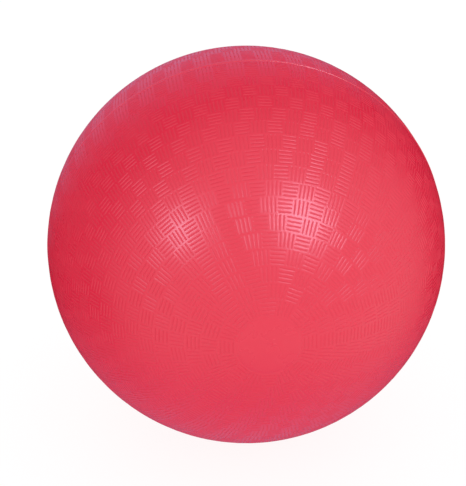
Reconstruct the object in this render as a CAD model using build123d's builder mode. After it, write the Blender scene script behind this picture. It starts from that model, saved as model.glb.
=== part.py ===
"""Playground rubber ball: a hollow two-ply rubber sphere with a self-sealing needle valve.

Millimetres. The origin is the centre of the ball and +Z is up. The moulding axis is Y: the closed
pole of the ball faces -Y, the valve is at the +Y pole, and the two mould halves part on the XZ plane.
Every piece is a body of revolution about Y, so each profile is drawn with X as the distance from the
moulding axis and Y along it.
"""

import os
from math import asin, cos, degrees, radians, sin

from build123d import *

# Driving dimensions
ball_diameter = 215.9  # 8.5 inch ball, over the smooth land between the moulded grooves
cover_thickness = 1.5  # outer ply
bladder_thickness = 1.2  # inner ply
seam_proud = 0.25  # parting-line bead above the cover
seam_width = 1.6  # foot of the bead, both halves together
seam_crest = 0.5  # flat on top of the bead, both halves together
lap_length = 8.0  # overlap of the two bladder halves
neck_diameter = 12.0  # valve housing where it passes through both plies
flange_diameter = 34.0
flange_thickness = 1.2
patch_diameter = 54.0
patch_thickness = 1.0
housing_length = 24.0  # from the outer surface to the inner end of the housing
housing_end_diameter = 9.5
plug_diameter = 7.0
plug_length = 16.0
collar_diameter = 9.0  # barb that keeps the plug in the housing
collar_length = 2.0
collar_height = 2.5  # from the plug's inner end to the underside of the collar
needle_bore_diameter = 2.6  # lead-in bore for a 2.5 mm inflating needle
needle_bore_length = 9.0
lead_in_depth = 0.8  # countersink at the mouth of the bore
lead_in_diameter = 4.0
air_passage_diameter = 2.8
edge_fillet = 0.5

# Derived radii of the layers, from the outside in
ball_radius = ball_diameter / 2
cover_inner_radius = ball_radius - cover_thickness
lap_radius = cover_inner_radius - bladder_thickness / 2
bladder_inner_radius = cover_inner_radius - bladder_thickness
flange_inner_radius = bladder_inner_radius - flange_thickness
patch_edge_radius = bladder_inner_radius - patch_thickness
patch_inner_radius = flange_inner_radius - patch_thickness

# Derived radii of the valve's pieces
neck_radius = neck_diameter / 2
housing_end_radius = housing_end_diameter / 2
plug_radius = plug_diameter / 2
collar_radius = collar_diameter / 2

# Derived angles from the parting plane
seam_angle = degrees(seam_width / 2 / ball_radius)
lap_angle = degrees(lap_length / 2 / lap_radius)

# Derived angles from the moulding axis
neck_top_angle = degrees(asin(neck_radius / ball_radius))
neck_root_angle = degrees(asin(neck_radius / bladder_inner_radius))
neck_shoulder_angle = degrees(asin(neck_radius / flange_inner_radius))
plug_top_angle = degrees(asin(plug_radius / ball_radius))
flange_angle = degrees(asin(flange_diameter / 2 / bladder_inner_radius))
patch_angle = degrees(asin(patch_diameter / 2 / bladder_inner_radius))
patch_slope_angle = degrees(patch_thickness / bladder_inner_radius)
patch_edge_angle = patch_angle - patch_slope_angle
patch_step_angle = flange_angle + patch_slope_angle

# Heights along the moulding axis, in the valve
housing_end = ball_radius - housing_length
plug_end = ball_radius - plug_length
collar_start = plug_end + collar_height
bore_end = ball_radius - lead_in_depth - needle_bore_length


def on_circle(radius, angle):
    """Profile point at an angle in degrees from the parting plane."""
    return (radius * cos(radians(angle)), radius * sin(radians(angle)))


def height_at(radius, distance):
    """Height along the moulding axis of a sphere at a distance from that axis."""
    return (radius**2 - distance**2) ** 0.5


def half_cover_outline():
    """Closed outline of one cover half on the +Y side, with its half of the parting-line bead."""
    foot = on_circle(ball_radius, seam_angle)
    crest = ball_radius + seam_proud
    CenterArc((0, 0), ball_radius, seam_angle, 90 - seam_angle)
    Polyline(foot, (crest, seam_crest / 2), (crest, 0), (cover_inner_radius, 0))
    CenterArc((0, 0), cover_inner_radius, 0, 90)
    Line((0, cover_inner_radius), (0, ball_radius))


# Outer ply, closed half
with BuildPart() as cover_front:
    with BuildSketch(Plane.XY) as cover_front_profile:
        with BuildLine():
            half_cover_outline()
        make_face()
        mirror(about=Plane.XZ, mode=Mode.REPLACE)
    revolve(axis=Axis.Y)

# Outer ply, valve half, with the round hole that the valve housing fills
with BuildPart() as cover_back:
    with BuildSketch(Plane.XY) as cover_back_profile:
        with BuildLine():
            half_cover_outline()
        make_face()
        Rectangle(neck_diameter, 2 * ball_diameter, mode=Mode.SUBTRACT)
    revolve(axis=Axis.Y)

# Inner ply, closed half: its edge is stepped to half thickness and lies under the other half's edge
with BuildPart() as bladder_front:
    with BuildSketch(Plane.XY) as bladder_front_profile:
        with BuildLine():
            CenterArc((0, 0), cover_inner_radius, -90, 90 - lap_angle)
            Line(on_circle(cover_inner_radius, -lap_angle), on_circle(lap_radius, -lap_angle))
            CenterArc((0, 0), lap_radius, -lap_angle, 2 * lap_angle)
            Line(on_circle(lap_radius, lap_angle), on_circle(bladder_inner_radius, lap_angle))
            CenterArc((0, 0), bladder_inner_radius, -90, 90 + lap_angle)
            Line((0, -bladder_inner_radius), (0, -cover_inner_radius))
        make_face()
    revolve(axis=Axis.Y)

# Inner ply, valve half: its stepped edge lies over the closed half's edge
with BuildPart() as bladder_back:
    with BuildSketch(Plane.XY) as bladder_back_profile:
        with BuildLine():
            CenterArc((0, 0), cover_inner_radius, -lap_angle, 90 + lap_angle)
            Line(on_circle(cover_inner_radius, -lap_angle), on_circle(lap_radius, -lap_angle))
            CenterArc((0, 0), lap_radius, -lap_angle, 2 * lap_angle)
            Line(on_circle(lap_radius, lap_angle), on_circle(bladder_inner_radius, lap_angle))
            CenterArc((0, 0), bladder_inner_radius, lap_angle, 90 - lap_angle)
            Line((0, bladder_inner_radius), (0, cover_inner_radius))
        make_face()
        Rectangle(neck_diameter, 2 * ball_diameter, mode=Mode.SUBTRACT)
    revolve(axis=Axis.Y)

# Valve housing: a neck through both plies, a flange bonded under the bladder and a tapered body inside
with BuildPart() as valve_housing:
    with BuildSketch(Plane.XY) as housing_profile:
        with BuildLine():
            Polyline(
                (0, ball_radius),
                (0, housing_end),
                (housing_end_radius, housing_end),
                (neck_radius, height_at(flange_inner_radius, neck_radius)),
            )
            CenterArc(
                (0, 0), flange_inner_radius, 90 - neck_shoulder_angle, neck_shoulder_angle - flange_angle
            )
            Line(
                on_circle(flange_inner_radius, 90 - flange_angle),
                on_circle(bladder_inner_radius, 90 - flange_angle),
            )
            CenterArc((0, 0), bladder_inner_radius, 90 - flange_angle, flange_angle - neck_root_angle)
            Line(
                (neck_radius, height_at(bladder_inner_radius, neck_radius)),
                (neck_radius, height_at(ball_radius, neck_radius)),
            )
            CenterArc((0, 0), ball_radius, 90 - neck_top_angle, neck_top_angle)
        make_face()
    revolve(axis=Axis.Y)
    end_edge = valve_housing.edges().filter_by(GeomType.CIRCLE).sort_by(Axis.Y)[0]
    fillet(end_edge, radius=edge_fillet)
    # Seat for the plug with the groove for its collar, and the air passage below the plug
    with BuildSketch(Plane.XY) as seat_profile:
        with BuildLine():
            Polyline(
                (0, ball_diameter),
                (plug_radius, ball_diameter),
                (plug_radius, collar_start + collar_length),
                (collar_radius, collar_start),
                (plug_radius, collar_start),
                (plug_radius, plug_end),
                (air_passage_diameter / 2, plug_end),
                (air_passage_diameter / 2, 0),
                (0, 0),
                close=True,
            )
        make_face()
    revolve(axis=Axis.Y, mode=Mode.SUBTRACT)

# Self-sealing plug: a lead-in bore for the inflating needle above a slit that stays shut by itself
with BuildPart() as valve_plug:
    with BuildSketch(Plane.XY) as plug_profile:
        with BuildLine():
            Polyline(
                (0, ball_radius),
                (0, plug_end),
                (plug_radius, plug_end),
                (plug_radius, collar_start),
                (collar_radius, collar_start),
                (plug_radius, collar_start + collar_length),
                on_circle(ball_radius, 90 - plug_top_angle),
            )
            CenterArc((0, 0), ball_radius, 90 - plug_top_angle, plug_top_angle)
        make_face()
        with BuildLine():
            Polyline(
                (0, ball_diameter),
                (lead_in_diameter / 2, ball_diameter),
                (lead_in_diameter / 2, ball_radius),
                (needle_bore_diameter / 2, ball_radius - lead_in_depth),
                (needle_bore_diameter / 2, bore_end),
                (0, bore_end),
                close=True,
            )
        make_face(mode=Mode.SUBTRACT)
    revolve(axis=Axis.Y)

# Reinforcing patch bonded over the flange and onto the bladder around it, feathered at its edge
with BuildPart() as valve_patch:
    with BuildSketch(Plane.XY) as patch_profile:
        with BuildLine():
            CenterArc((0, 0), bladder_inner_radius, 90 - patch_angle, patch_angle - flange_angle)
            Line(
                on_circle(bladder_inner_radius, 90 - flange_angle),
                on_circle(flange_inner_radius, 90 - flange_angle),
            )
            CenterArc((0, 0), flange_inner_radius, 90 - flange_angle, flange_angle)
            Line((0, flange_inner_radius), (0, patch_inner_radius))
            CenterArc((0, 0), patch_inner_radius, 90 - patch_step_angle, patch_step_angle)
            Line(
                on_circle(patch_inner_radius, 90 - patch_step_angle),
                on_circle(patch_edge_radius, 90 - patch_step_angle),
            )
            CenterArc((0, 0), patch_edge_radius, 90 - patch_edge_angle, patch_edge_angle - patch_step_angle)
            Line(
                on_circle(patch_edge_radius, 90 - patch_edge_angle),
                on_circle(bladder_inner_radius, 90 - patch_angle),
            )
        make_face()
    revolve(axis=Axis.Y)
    # Hole that follows the tapered body of the housing
    with BuildSketch(Plane.XY) as patch_hole_profile:
        with BuildLine():
            Polyline(
                (0, ball_radius),
                (neck_radius, ball_radius),
                (neck_radius, height_at(flange_inner_radius, neck_radius)),
                (housing_end_radius, housing_end),
                (0, housing_end),
                close=True,
            )
        make_face()
    revolve(axis=Axis.Y, mode=Mode.SUBTRACT)

cover_front.part.label = "cover_front"
cover_back.part.label = "cover_back"
bladder_front.part.label = "bladder_front"
bladder_back.part.label = "bladder_back"
valve_housing.part.label = "valve_housing"
valve_plug.part.label = "valve_plug"
valve_patch.part.label = "valve_patch"

os.makedirs("parts", exist_ok=True)
export_step(cover_front.part, "parts/cover_front.step")
export_step(cover_back.part, "parts/cover_back.step")
export_step(bladder_front.part, "parts/bladder_front.step")
export_step(bladder_back.part, "parts/bladder_back.step")
export_step(valve_housing.part, "parts/valve_housing.step")
export_step(valve_plug.part, "parts/valve_plug.step")
export_step(valve_patch.part, "parts/valve_patch.step")
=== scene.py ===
"""Playground rubber ball: the moulded grip of the cover, its materials, and the studio round it.

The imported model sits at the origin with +Z up. The moulding axis is Y: the closed pole faces -Y and
the needle valve is at +Y. Places on the ball are given by their colatitude, the angle from the nearer
pole of the moulding axis, and their longitude round that axis, from +Z towards +X.
"""

from math import asin, cos, degrees, floor, radians, sin, sqrt

import bpy
import numpy as np
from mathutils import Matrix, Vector
from mathutils.geometry import delaunay_2d_cdt


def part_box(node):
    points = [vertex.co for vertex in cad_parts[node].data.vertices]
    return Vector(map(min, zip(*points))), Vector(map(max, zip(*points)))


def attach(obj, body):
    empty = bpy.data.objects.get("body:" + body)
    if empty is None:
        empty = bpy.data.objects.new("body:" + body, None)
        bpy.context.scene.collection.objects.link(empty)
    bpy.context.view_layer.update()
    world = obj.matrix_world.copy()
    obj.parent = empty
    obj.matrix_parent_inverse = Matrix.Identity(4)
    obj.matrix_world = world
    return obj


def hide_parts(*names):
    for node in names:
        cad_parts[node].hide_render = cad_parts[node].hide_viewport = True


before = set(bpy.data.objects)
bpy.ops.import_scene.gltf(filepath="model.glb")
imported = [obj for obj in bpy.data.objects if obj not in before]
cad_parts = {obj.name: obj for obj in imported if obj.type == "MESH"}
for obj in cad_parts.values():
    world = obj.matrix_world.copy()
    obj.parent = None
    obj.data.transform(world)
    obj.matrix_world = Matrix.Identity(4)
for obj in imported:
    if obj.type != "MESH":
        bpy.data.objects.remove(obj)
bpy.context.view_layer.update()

MM = 0.001

# Cover. The frame gives the crest of the parting-line bead and the ball's radius over its smooth land.
SEAM_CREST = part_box("cover_front")[1].x
BALL_RADIUS = -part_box("cover_front")[0].y
COVER_THICKNESS = 1.5 * MM
INNER_RADIUS = BALL_RADIUS - COVER_THICKNESS
HOLE_RADIUS = 6.0 * MM  # round the neck of the valve housing

# Grip pattern, in degrees: rings of square blocks, each ring starting on the same meridian
RING_PITCH = 4.5
FIRST_RING = 2  # the rings nearer the pole are left out for the smooth disc
LAST_RING = 19
BLOCK_PITCH = 4.25
START_MERIDIAN = 213.0
SEAM_BAND = 0.8  # smooth band beside the parting line
JOIN = 0.03  # half the gap between two rings, which a band of triangles fills
SIDE_STEPS = 4  # edges along each side of a block

# Grooves, as shares of a block's side, and how they are cut
GROOVES = 4
LIP_HALF_WIDTH = 0.060
SHOULDER_HALF_WIDTH = 0.032
GROOVE_HALF_LENGTH = 0.455
GROOVE_DEPTH = 0.24 * MM
SHOULDER_DEPTH = 0.75  # share of the depth where the walls end and the rounded bottom starts
LIP_LEAN = 0.06  # slope of the shading normals at the lip
WALL_LEAN = 0.45  # slope of the shading normals at the shoulder
LOOP_POINTS = 8  # round a groove
CORNER_SHARE = 0.62  # half width of a groove's blunt end, as a share of the groove's
CORNER_LEAN = (0.38, 0.92)  # way down at the corners of a blunt end, across and along the groove

# Unevenness of the mould, in degrees: sums of waves, each a (wave vector, phase) pair
WAVER = 0.045
DRIFT_WAVES = (((23, 0, 0), 1.1), ((0, 0, 29), 2.3), ((41, 41, 0), 0.4))
SWAY_WAVES = (((0, 0, 27), 0.7), ((0, 19, 0), 1.9), ((37, 0, -37), 2.8))

# Bead at the parting line: (distance from the line in mm, share of the bead's height, slope)
SEAM_PROFILE = (
    (0.80, 0.0, 0.0),
    (0.68, 0.0, 0.0),
    (0.62, 0.08, 1.55),
    (0.22, 0.94, 1.55),
    (0.16, 1.0, 0.2),
    (0.0, 1.0, 0.0),
)

# Height that trimming left on the bead, as a share: its mean, its swing, the longitude where it is
# highest, and ripples as (waves per turn, phase) pairs
BEAD_MEAN = 0.60
BEAD_SWING = 0.30
BEAD_PEAK = 60
BEAD_RIPPLE = 0.025
BEAD_RIPPLES = ((7, 0), (17, 1), (41, 2))

# Smooth discs at the poles, from the grip inwards: (colatitude in degrees, height in mm). The disc
# round the valve has two raised rings, the one at the closed pole a fine groove and a small dimple.
VALVE_PAD = (
    (8.90, 0.0), (8.75, 0.06), (8.60, 0.20), (8.35, 0.24), (8.10, 0.20), (7.95, 0.06), (7.80, 0.0),
    (6.8, 0.0), (5.8, 0.0), (5.05, 0.0), (4.95, 0.05), (4.80, 0.18), (4.50, 0.22), (4.20, 0.18),
    (4.05, 0.05), (3.95, 0.0), (3.6, 0.0),
)
HOLE_EDGE = ((0.08, 0.0), (0.0, -0.12))  # colatitudes here are counted from the hole
POLE_PAD = (
    (8.90, 0.0), (8.78, -0.05), (8.65, -0.14), (8.52, -0.05), (8.40, 0.0), (7.2, 0.0), (5.8, 0.0),
    (4.4, 0.0), (3.0, 0.0), (1.8, 0.0), (1.20, 0.0), (1.08, -0.05), (0.95, -0.12), (0.5, -0.12),
)
POLE_HEIGHT = -0.10

# Plain inner surface of the cover
INNER_SEGMENTS = 72
INNER_RINGS = 24
INNER_CAP = 3.0  # colatitude of the first loop round the closed pole

SHARP_ANGLE = 62  # edges turning more than this stay sharp

# Rubber: scales of its noises per metre, and how far they and the grooves change it
CLOUD_SCALE = 22.0
SHEEN_SCALE = 48.0
RELIEF_SCALE = 2600.0
RELIEF_HEIGHT = 0.05 * MM
MOTTLE_SHARE = 0.55
SHEEN_DROP, SHEEN_RISE = 0.04, 0.05  # roughness below and above its mean
# Painted shade: how far the colour darkens towards the shade colour at the bottom of a groove
GROOVE_PAINTED_SHADE = 0.06
GROOVE_ROUGHNESS = 0.22

# Camera: distance in ball radii, direction in degrees. The ball's width and the place of its centre
# off the middle of the frame are shares of the frame's width.
CAMERA_DISTANCE = 9.0
CAMERA_AZIMUTH = -6.0
CAMERA_ELEVATION = 28.2
BALL_SHARE = 0.8185
BALL_OFFSET = (0.0273, 0.0029)
SENSOR_WIDTH = 36.0

# Studio: half the floor's side in metres, its colour, its glow, and the colour of both softboxes
FLOOR_REACH = 12.0
FLOOR_GREY = (0.12, 0.12, 0.12, 1.0)
FLOOR_GLOW = 0.90
SOFTBOX_COLOUR = (0.60, 0.80, 1.0)
WHITE = (1.0, 1.0, 1.0)


def direction(azimuth, elevation):
    """Unit vector from the ball towards an azimuth and elevation. Azimuth 0 is -Y, 90 is +X."""
    a, e = radians(azimuth), radians(elevation)
    return Vector((sin(a) * cos(e), -cos(a) * cos(e), sin(e)))


# ---------------------------------------------------------------- mesh of the moulded cover


def sphere_points(side, colatitude, longitude, radius):
    """Points on the ball. side is -1 for the front half and +1 for the valve half."""
    theta, phi = np.radians(colatitude), np.radians(longitude)
    across = radius * np.sin(theta)
    return np.stack([across * np.sin(phi), side * radius * np.cos(theta), across * np.cos(phi)], -1)


def leaning_normals(side, colatitude, longitude, leans):
    """The ball's own normals, tipped along the ring and away from the pole by the two leans."""
    out = sphere_points(side, colatitude, longitude, 1.0)
    along = sphere_points(side, np.full(len(out), 90.0), longitude + 90.0, 1.0)
    away = sphere_points(side, colatitude + 90.0, longitude, 1.0)
    tipped = out + leans[:, :1] * along + leans[:, 1:] * away
    return tipped / np.linalg.norm(tipped, axis=1, keepdims=True)


def groove_loop(centre, half_width, half_length):
    """Points round one groove with blunt rounded ends, and the way down into it at each."""
    shoulder = half_length - half_width
    corner = CORNER_SHARE * half_width
    side, end = CORNER_LEAN
    xs = (-half_width, -corner, corner, half_width, half_width, corner, -corner, -half_width)
    ys = (-shoulder, -half_length, -half_length, -shoulder, shoulder, half_length, half_length, shoulder)
    lean_x = (1, side, -side, -1, -1, -side, side, 1)
    lean_y = (0, end, end, 0, 0, -end, -end, 0)
    points = [(centre + x, 0.5 + y) for x, y in zip(xs, ys)]
    return points, list(zip(lean_x, lean_y))


def groove_triangles(lip):
    """Triangles of one groove, whose lip, shoulder and two bottom points are numbered from lip on."""
    shoulder = lip + LOOP_POINTS
    low = shoulder + LOOP_POINTS
    high = low + 1
    triangles = []
    for n in range(LOOP_POINTS):
        m = (n + 1) % LOOP_POINTS
        triangles += [(lip + n, lip + m, shoulder + m), (lip + n, shoulder + m, shoulder + n)]
    round_low = [(shoulder + n, shoulder + n + 1, low) for n in range(3)]
    round_high = [(shoulder + n, shoulder + n + 1, high) for n in range(4, 7)]
    right_side = [(shoulder + 3, shoulder + 4, high), (shoulder + 3, high, low)]
    left_side = [(shoulder + 7, shoulder, low), (shoulder + 7, low, high)]
    return triangles + round_low + right_side + round_high + left_side


def block_template(along_ring):
    """One block in the unit square: (own points, depths, leans, triangles).

    The block's own points are its left side, the insides of its lower and upper sides and its grooves.
    Triangle corners past the last own point are the next block's left side. A lean is how far the
    surface's normal tips along each side of the block.
    """
    steps = [i / SIDE_STEPS for i in range(SIDE_STEPS + 1)]
    points = [(0.0, v) for v in steps]
    points += [(u, 0.0) for u in steps[1:-1]]
    points += [(u, 1.0) for u in steps[1:-1]]
    frame_count = len(points)
    depths = [0.0] * frame_count
    leans = [(0.0, 0.0)] * frame_count
    triangles = []
    lips = []
    inset = LIP_HALF_WIDTH - SHOULDER_HALF_WIDTH
    bottom_end = GROOVE_HALF_LENGTH - LIP_HALF_WIDTH
    for i in range(GROOVES):
        centre = (i + 0.5) / GROOVES
        lip, lip_lean = groove_loop(centre, LIP_HALF_WIDTH, GROOVE_HALF_LENGTH)
        shoulder, shoulder_lean = groove_loop(centre, SHOULDER_HALF_WIDTH, GROOVE_HALF_LENGTH - inset)
        bottom = [(centre, 0.5 - bottom_end), (centre, 0.5 + bottom_end)]
        start = len(points)
        points += lip + shoulder + bottom
        depths += [0.0] * LOOP_POINTS + [SHOULDER_DEPTH] * LOOP_POINTS + [1.0] * 2
        leans += [(LIP_LEAN * x, LIP_LEAN * y) for x, y in lip_lean]
        leans += [(WALL_LEAN * x, WALL_LEAN * y) for x, y in shoulder_lean]
        leans += [(0.0, 0.0)] * 2
        lips.append(range(start, start + LOOP_POINTS))
        triangles += groove_triangles(start)
    # The grooves were laid out away from the pole, so a block with grooves along the ring swaps its axes
    if along_ring:
        points[frame_count:] = [(y, x) for x, y in points[frame_count:]]
        leans = [(y, x) for x, y in leans]
        triangles = [t[::-1] for t in triangles]
    own = len(points)
    right = [(1.0, v) for v in steps]
    triangles += land_triangles(points + right, lips, frame_count, own)
    return np.array(points), np.array(depths), np.array(leans), np.array(triangles)


def land_triangles(points, lips, frame_count, own):
    """Triangles of the smooth land between a block's sides and the lips of its grooves."""
    used = list(range(frame_count)) + [n for lip in lips for n in lip] + list(range(own, len(points)))
    place = {n: i for i, n in enumerate(used)}
    edges = []
    for lip in lips:
        edges += [(place[lip[n]], place[lip[(n + 1) % LOOP_POINTS]]) for n in range(LOOP_POINTS)]
    flat = [Vector(points[n]) for n in used]
    whole_hull, closeness = 0, 1e-7
    result = delaunay_2d_cdt(flat, edges, [], whole_hull, closeness)
    found, faces, source = result[0], result[2], result[3]
    lip_sets = [set(lip) for lip in lips]
    triangles = []
    for face in faces:
        corners = [used[source[n][0]] for n in face]
        if any(set(corners) <= lip for lip in lip_sets):
            continue
        p, q, r = (found[n] for n in face)
        anticlockwise = (q - p).cross(r - p) > 0
        triangles.append(tuple(corners) if anticlockwise else tuple(corners[::-1]))
    return triangles


class Shell:
    """Collects the vertices and triangles of one half of the cover."""

    def __init__(self, side):
        self.side = side
        self.points = []
        self.depths = []
        self.normals = []
        self.triangles = []
        self.count = 0

    def add(self, colatitude, longitude, radius, depth=0.0, normals=None):
        """Adds vertices and returns the number of the first. Without normals they are worked out later."""
        first = self.count
        points = sphere_points(self.side, colatitude, longitude, radius)
        self.points.append(points)
        self.depths.append(np.broadcast_to(depth, len(points)))
        self.normals.append(np.zeros_like(points) if normals is None else normals)
        self.count += len(points)
        return first

    def pole(self, radius):
        """Adds one vertex on the moulding axis and returns its number."""
        return self.add(np.zeros(1), np.zeros(1), np.full(1, radius))

    def loop(self, colatitude, radius, segments):
        """Adds one circle of vertices round the moulding axis.

        A loop is (numbers, turns), where a turn is a share of the way round from the starting meridian.
        """
        turn = np.arange(segments) / segments
        longitude = START_MERIDIAN + 360 * turn
        first = self.add(np.full(segments, colatitude), longitude, np.full(segments, radius))
        return np.arange(first, first + segments), turn

    def stitch(self, inner, outer):
        """Joins two loops with a band of triangles. inner is nearer the pole along the surface."""
        (a, ta), (b, tb) = inner, outer
        ends_a, ends_b = np.append(ta[1:], 1.0), np.append(tb[1:], 1.0)
        i = j = 0
        band = []
        while i < len(a) or j < len(b):
            step_a = j == len(b) or (i < len(a) and ends_a[i] <= ends_b[j])
            here_a, here_b = a[i % len(a)], b[j % len(b)]
            if step_a:
                band.append((here_a, a[(i + 1) % len(a)], here_b))
                i += 1
            else:
                band.append((here_a, b[(j + 1) % len(b)], here_b))
                j += 1
        self.triangles.append(np.array(band))

    def cap(self, pole, loop, facing_in=False):
        """Closes a loop with a fan to one vertex at the pole."""
        this = loop[0]
        following = np.roll(this, -1)
        if facing_in:
            this, following = following, this
        self.triangles.append(np.stack([np.full(len(this), pole), following, this], 1))

    def mesh(self, name):
        """The finished Blender mesh, smooth shaded except at its sharp edges."""
        points = np.concatenate(self.points)
        triangles = np.concatenate(self.triangles)
        # The valve half is the front half's mirror image, so its triangles turn the other way
        if self.side > 0:
            triangles = triangles[:, ::-1]
        mesh = bpy.data.meshes.new(name)
        mesh.from_pydata([], [], [])
        mesh.vertices.add(len(points))
        mesh.vertices.foreach_set("co", points.astype(np.float32).ravel())
        mesh.loops.add(triangles.size)
        mesh.loops.foreach_set("vertex_index", triangles.astype(np.int32).ravel())
        mesh.polygons.add(len(triangles))
        mesh.polygons.foreach_set("loop_start", np.arange(0, triangles.size, 3, dtype=np.int32))
        mesh.update(calc_edges=True)
        attribute = mesh.attributes.new("groove", "FLOAT", "POINT")
        attribute.data.foreach_set("value", np.concatenate(self.depths).astype(np.float32))
        mesh.validate()
        mesh.shade_smooth()
        mesh.set_sharp_from_angle(angle=radians(SHARP_ANGLE))
        mesh.normals_split_custom_set_from_vertices(np.concatenate(self.normals))
        return mesh


def blocks_in_ring(ring):
    """An even number of blocks, as near square as the ring's circumference allows."""
    middle = radians((ring + 0.5) * RING_PITCH)
    return 2 * floor(180 * sin(middle) / BLOCK_PITCH)


def add_ring(shell, ring, templates):
    """Adds one ring of blocks, alternating the two templates, and returns its inner and outer loops."""
    count = blocks_in_ring(ring)
    low = ring * RING_PITCH + JOIN
    high = (ring + 1) * RING_PITCH - JOIN
    if ring == LAST_RING:
        high = 90 - SEAM_BAND
    width = 360 / count
    own = len(templates[0][0])
    first = shell.count
    for block in range(count):
        points, depths, leans = templates[block % 2][:3]
        colatitude = low + points[:, 1] * (high - low)
        longitude = START_MERIDIAN + (block + points[:, 0]) * width
        colatitude, longitude = waver(colatitude, longitude)
        normals = leaning_normals(shell.side, colatitude, longitude, leans)
        shell.add(colatitude, longitude, BALL_RADIUS - depths * GROOVE_DEPTH, depths, normals)
    for block in range(count):
        triangles = templates[block % 2][3]
        here = first + block * own
        after = first + (block + 1) % count * own
        shell.triangles.append(np.where(triangles < own, triangles + here, triangles - own + after))
    # The loops run along the inner and outer sides of the blocks, from each block's left corner
    starts = first + np.arange(count)[:, None] * own
    across = list(range(1, SIDE_STEPS))
    lower = [0] + [SIDE_STEPS + n for n in across]
    upper = [SIDE_STEPS] + [2 * SIDE_STEPS - 1 + n for n in across]
    turn = np.arange(count * SIDE_STEPS) / (count * SIDE_STEPS)
    return ((starts + lower).ravel(), turn), ((starts + upper).ravel(), turn)


def waver(colatitude, longitude):
    """Slight unevenness of a hand-cut mould, fading out at the poles and the parting line."""
    theta = np.radians(colatitude)
    places = sphere_points(1, colatitude, longitude, 1.0)
    drift = sum(np.sin(places @ np.array(vector) + phase) for vector, phase in DRIFT_WAVES)
    sway = sum(np.sin(places @ np.array(vector) + phase) for vector, phase in SWAY_WAVES)
    amount = WAVER * np.sin(2 * theta) ** 0.5
    return colatitude + amount * drift, longitude + amount * sway / np.sin(theta)


def bead_share(longitude):
    """How much of its full height the parting-line bead keeps where its flash was trimmed."""
    phi = np.radians(longitude)
    ripple = sum(np.sin(waves * phi + phase) for waves, phase in BEAD_RIPPLES)
    return BEAD_MEAN + BEAD_SWING * np.cos(phi - radians(BEAD_PEAK)) + BEAD_RIPPLE * ripple


def add_seam(shell, outer):
    """Adds the smooth band and half the bead, and returns the loop on the parting line."""
    turn = outer[1]
    segments = len(turn)
    longitude = START_MERIDIAN + 360 * turn
    share = bead_share(longitude)
    for y, rise, steepness in SEAM_PROFILE:
        radius = BALL_RADIUS + rise * share * (SEAM_CREST - BALL_RADIUS)
        colatitude = np.degrees(np.arccos(y * MM / radius))
        leans = np.stack([np.zeros(segments), -steepness * share], 1)
        normals = leaning_normals(shell.side, colatitude, longitude, leans)
        first = shell.add(colatitude, longitude, radius, normals=normals)
        loop = (np.arange(first, first + segments), turn)
        shell.stitch(outer, loop)
        outer = loop
    return outer


def add_smooth(shell, outer, profile):
    """Adds circles from the grip towards the pole. profile is (colatitude, height in mm) pairs."""
    segments = len(outer[0])
    for colatitude, height in profile:
        inner = shell.loop(colatitude, BALL_RADIUS + height * MM, segments)
        shell.stitch(inner, outer)
        outer = inner
    return outer


def add_valve_end(shell, grip_edge):
    """Adds the disc round the valve and its hole. Returns the hole's inner loop and colatitude."""
    hole = degrees(asin(HOLE_RADIUS / BALL_RADIUS))
    hole_edge = tuple((hole + past, height) for past, height in HOLE_EDGE)
    edge = add_smooth(shell, grip_edge, VALVE_PAD + hole_edge)
    inner_hole = degrees(asin(HOLE_RADIUS / INNER_RADIUS))
    loop = shell.loop(inner_hole, INNER_RADIUS, INNER_SEGMENTS)
    shell.stitch(loop, edge)
    return loop, inner_hole


def add_closed_end(shell, grip_edge):
    """Adds the disc at the closed pole. Returns the first loop inside and its colatitude."""
    edge = add_smooth(shell, grip_edge, POLE_PAD)
    shell.cap(shell.pole(BALL_RADIUS + POLE_HEIGHT * MM), edge)
    inner_pole = shell.pole(INNER_RADIUS)
    loop = shell.loop(INNER_CAP, INNER_RADIUS, INNER_SEGMENTS)
    shell.cap(inner_pole, loop, facing_in=True)
    return loop, INNER_CAP


def cover_half(name, side, add_end):
    """One moulded half of the cover as a closed shell, with real grooves."""
    templates = (block_template(along_ring=True), block_template(along_ring=False))
    shell = Shell(side)
    grip_edge, outer = add_ring(shell, FIRST_RING, templates)
    for ring in range(FIRST_RING + 1, LAST_RING + 1):
        inner, following = add_ring(shell, ring, templates)
        shell.stitch(outer, inner)
        outer = following
    rim = add_seam(shell, outer)
    last, begin = add_end(shell, grip_edge)
    for n in range(1, INNER_RINGS + 1):
        loop = shell.loop(begin + (90 - begin) * n / INNER_RINGS, INNER_RADIUS, INNER_SEGMENTS)
        shell.stitch(loop, last)
        last = loop
    shell.stitch(rim, last)
    return bpy.data.objects.new(name, shell.mesh(name))


# ---------------------------------------------------------------- materials


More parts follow.
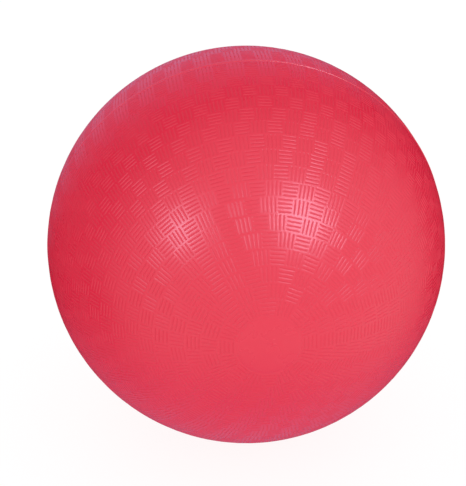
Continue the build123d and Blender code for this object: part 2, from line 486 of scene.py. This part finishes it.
class Nodes:
    """A short way to write a node tree."""

    def __init__(self, tree):
        self.tree = tree
        tree.nodes.clear()

    def add(self, kind, **settings):
        node = self.tree.nodes.new(kind)
        for key, value in settings.items():
            setattr(node, key, value)
        return node

    def link(self, source, target):
        self.tree.links.new(source, target)

    def noise(self, coordinates, scale, detail, roughness):
        node = self.add("ShaderNodeTexNoise")
        self.link(coordinates, node.inputs["Vector"])
        node.inputs["Scale"].default_value = scale
        node.inputs["Detail"].default_value = detail
        node.inputs["Roughness"].default_value = roughness
        return node.outputs["Fac"]

    def ramp(self, value, low, high, to_low=0.0, to_high=1.0):
        node = self.add("ShaderNodeMapRange")
        self.link(value, node.inputs["Value"])
        node.inputs["From Min"].default_value = low
        node.inputs["From Max"].default_value = high
        node.inputs["To Min"].default_value = to_low
        node.inputs["To Max"].default_value = to_high
        return node.outputs["Result"]

    def add_numbers(self, a, b):
        node = self.add("ShaderNodeMath", operation="ADD")
        self.link(a, node.inputs[0])
        self.link(b, node.inputs[1])
        return node.outputs[0]

    def facing(self, vector, axis):
        """How far a unit vector points along an axis, from -1 to 1."""
        node = self.add("ShaderNodeVectorMath", operation="DOT_PRODUCT")
        self.link(vector, node.inputs[0])
        node.inputs[1].default_value = axis
        return node.outputs["Value"]

    def mix(self, factor, a, b):
        """Mixes two colours, each an output or an (r, g, b) triple."""
        node = self.add("ShaderNodeMix", data_type="RGBA")
        self.link(factor, node.inputs["Factor"])
        # The node has sockets of several types: inputs 6 and 7 and output 2 are its colours
        for socket, value in ((node.inputs[6], a), (node.inputs[7], b)):
            if isinstance(value, tuple):
                socket.default_value = (*value, 1.0)
            else:
                self.link(value, socket)
        return node.outputs[2]


def rubber(name, colour, pale, painted_groove_shade, roughness, grain, bump):
    """Moulded rubber: cloudy colour, fine mottling, duller in the grooves and darkened there with painted
    shade.
    """
    material = bpy.data.materials.new(name)
    material.use_nodes = True
    nodes = Nodes(material.node_tree)
    coordinates = nodes.add("ShaderNodeTexCoord").outputs["Object"]
    groove = nodes.add("ShaderNodeAttribute", attribute_name="groove").outputs["Fac"]

    cloud = nodes.noise(coordinates, CLOUD_SCALE, detail=3.0, roughness=0.5)
    mottle = nodes.noise(coordinates, grain, detail=4.0, roughness=0.65)
    tint = nodes.mix(nodes.ramp(cloud, 0.35, 0.70), colour, pale)
    tint = nodes.mix(nodes.ramp(mottle, 0.30, 0.75, to_high=MOTTLE_SHARE), tint, colour)
    # Painted shade: the colour darkens with the groove's depth
    tint = nodes.mix(nodes.ramp(groove, 0.0, 1.0, to_high=GROOVE_PAINTED_SHADE), tint, painted_groove_shade)

    smooth, dull = roughness - SHEEN_DROP, roughness + SHEEN_RISE
    sheen = nodes.noise(coordinates, SHEEN_SCALE, detail=4.0, roughness=0.6)
    land_roughness = nodes.ramp(sheen, 0.3, 0.7, to_low=smooth, to_high=dull)
    groove_roughness = nodes.ramp(groove, 0.0, 1.0, to_high=GROOVE_ROUGHNESS)

    relief = nodes.add("ShaderNodeBump")
    relief.inputs["Strength"].default_value = bump
    relief.inputs["Distance"].default_value = RELIEF_HEIGHT
    height = nodes.noise(coordinates, RELIEF_SCALE, detail=3.0, roughness=0.6)
    nodes.link(height, relief.inputs["Height"])

    shader = nodes.add("ShaderNodeBsdfPrincipled")
    nodes.link(tint, shader.inputs["Base Color"])
    nodes.link(nodes.add_numbers(land_roughness, groove_roughness), shader.inputs["Roughness"])
    nodes.link(relief.outputs["Normal"], shader.inputs["Normal"])
    shader.inputs["IOR"].default_value = 1.5
    shader.inputs["Specular IOR Level"].default_value = 0.5
    output = nodes.add("ShaderNodeOutputMaterial")
    nodes.link(shader.outputs["BSDF"], output.inputs["Surface"])
    return material


def paint(piece, material):
    """Gives every slot of a piece one material."""
    if not piece.data.materials:
        piece.data.materials.append(material)
    for slot in piece.material_slots:
        slot.material = material


# The darkest colour of each rubber is painted shade for the bottoms of its grooves
cover_rubber = rubber(
    "cover_rubber",
    colour=(0.760, 0.014, 0.050),
    pale=(0.775, 0.017, 0.055),
    painted_groove_shade=(0.470, 0.007, 0.031),
    roughness=0.27,
    grain=700.0,
    bump=0.14,
)
valve_rubber = rubber(
    "valve_rubber",
    colour=(0.700, 0.020, 0.045),
    pale=(0.740, 0.028, 0.055),
    painted_groove_shade=(0.500, 0.010, 0.030),
    roughness=0.46,
    grain=900.0,
    bump=0.5,
)
plug_rubber = rubber(
    "plug_rubber",
    colour=(0.055, 0.050, 0.048),
    pale=(0.080, 0.074, 0.070),
    painted_groove_shade=(0.030, 0.028, 0.026),
    roughness=0.50,
    grain=900.0,
    bump=0.5,
)
bladder_rubber = rubber(
    "bladder_rubber",
    colour=(0.030, 0.028, 0.027),
    pale=(0.075, 0.070, 0.066),
    painted_groove_shade=(0.020, 0.018, 0.017),
    roughness=0.68,
    grain=500.0,
    bump=0.6,
)


# ---------------------------------------------------------------- pieces

cover_front = cover_half("cover_front_moulded", -1, add_closed_end)
cover_back = cover_half("cover_back_moulded", 1, add_valve_end)
for piece, node in ((cover_front, "cover_front"), (cover_back, "cover_back")):
    bpy.context.scene.collection.objects.link(piece)
    paint(piece, cover_rubber)
    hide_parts(node)
    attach(piece, "root")

paint(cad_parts["valve_housing"], valve_rubber)
paint(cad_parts["valve_plug"], plug_rubber)
for node in ("bladder_front", "bladder_back", "valve_patch"):
    paint(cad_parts[node], bladder_rubber)


# ---------------------------------------------------------------- studio


def make_floor():
    """A wide pale floor under the ball. It glows, so the ball's shadow on it stays faint."""
    bottom = -SEAM_CREST
    corners = [(x * FLOOR_REACH, y * FLOOR_REACH, bottom) for x, y in ((-1, -1), (1, -1), (1, 1), (-1, 1))]
    mesh = bpy.data.meshes.new("floor")
    mesh.from_pydata(corners, [], [(0, 1, 2, 3)])
    floor_piece = bpy.data.objects.new("floor", mesh)
    bpy.context.scene.collection.objects.link(floor_piece)
    material = bpy.data.materials.new("floor_paper")
    material.use_nodes = True
    shader = material.node_tree.nodes["Principled BSDF"]
    shader.inputs["Base Color"].default_value = FLOOR_GREY
    shader.inputs["Roughness"].default_value = 0.9
    shader.inputs["Specular IOR Level"].default_value = 0.1
    shader.inputs["Emission Color"].default_value = (*WHITE, 1.0)
    shader.inputs["Emission Strength"].default_value = FLOOR_GLOW
    mesh.materials.append(material)
    floor_piece.visible_glossy = False


def softbox(name, azimuth, elevation, distance, size, radiance):
    """A rectangular light aimed at the ball. Only its reflection shows: the world lights the rest."""
    data = bpy.data.lights.new(name, "AREA")
    data.shape = "RECTANGLE"
    data.size, data.size_y = size
    # An area light's radiance is its energy over four times its area
    data.energy = 4 * radiance * data.size * data.size_y
    data.color = SOFTBOX_COLOUR
    light = bpy.data.objects.new(name, data)
    towards = direction(azimuth, elevation)
    light.location = towards * distance
    light.rotation_mode = "QUATERNION"
    light.rotation_quaternion = towards.to_track_quat("Z", "Y")
    light.visible_diffuse = False
    bpy.context.scene.collection.objects.link(light)


def make_world(lit, front, haze):
    """White surroundings, with one set of tones for their light and another for their reflections.

    They light the ball a little more from the right than from the left. Their reflections are bright
    in front, dark at the far left and hazy behind and below.
    """
    lit_most = direction(60, 0)
    reflected_most = direction(13, 8)
    behind, below = direction(188, 14), direction(0, -90)
    world = bpy.data.worlds.new("studio")
    world.use_nodes = True
    nodes = Nodes(world.node_tree)
    towards = nodes.add("ShaderNodeTexCoord").outputs["Generated"]
    path = nodes.add("ShaderNodeLightPath")

    dimmest, brightest = 0.85 * lit, 1.15 * lit
    lighting = nodes.ramp(nodes.facing(towards, lit_most), -1.0, 1.0, dimmest, brightest)
    reflections = nodes.ramp(nodes.facing(towards, reflected_most), -0.35, 0.40, to_high=front)
    for middle, edge, full in ((behind, 0.72, 0.95), (below, 0.50, 1.00)):
        share = nodes.ramp(nodes.facing(towards, middle), edge, full)
        reflections = nodes.mix(share, reflections, haze)

    unseen = nodes.mix(path.outputs["Is Glossy Ray"], lighting, reflections)
    background = nodes.add("ShaderNodeBackground")
    nodes.link(nodes.mix(path.outputs["Is Camera Ray"], unseen, WHITE), background.inputs["Color"])
    output = nodes.add("ShaderNodeOutputWorld")
    nodes.link(background.outputs["Background"], output.inputs["Surface"])
    bpy.context.scene.world = world


def make_camera():
    """A long lens that sees the ball at its place in the frame."""
    data = bpy.data.cameras.new("camera")
    camera = bpy.data.objects.new("camera", data)
    bpy.context.scene.collection.objects.link(camera)
    towards = direction(CAMERA_AZIMUTH, CAMERA_ELEVATION)
    camera.location = towards * CAMERA_DISTANCE * BALL_RADIUS
    camera.rotation_mode = "QUATERNION"
    camera.rotation_quaternion = towards.to_track_quat("Z", "Y")
    half_angle_tangent = 1 / sqrt(CAMERA_DISTANCE**2 - 1)
    data.sensor_width = SENSOR_WIDTH
    data.lens = data.sensor_width * BALL_SHARE / 2 / half_angle_tangent
    data.shift_x = -BALL_OFFSET[0]
    data.shift_y = BALL_OFFSET[1]
    data.clip_start, data.clip_end = 0.01, 60.0
    bpy.context.scene.camera = camera


make_floor()
make_world(lit=1.00, front=1.50, haze=(0.36, 0.42, 0.70))
softbox("softbox_right", azimuth=33, elevation=37, distance=1.5, size=(0.60, 0.70), radiance=7.6)
softbox("softbox_left", azimuth=-47, elevation=30, distance=1.5, size=(0.44, 0.52), radiance=7.1)
make_camera()
bpy.context.scene.view_settings.view_transform = "Standard"
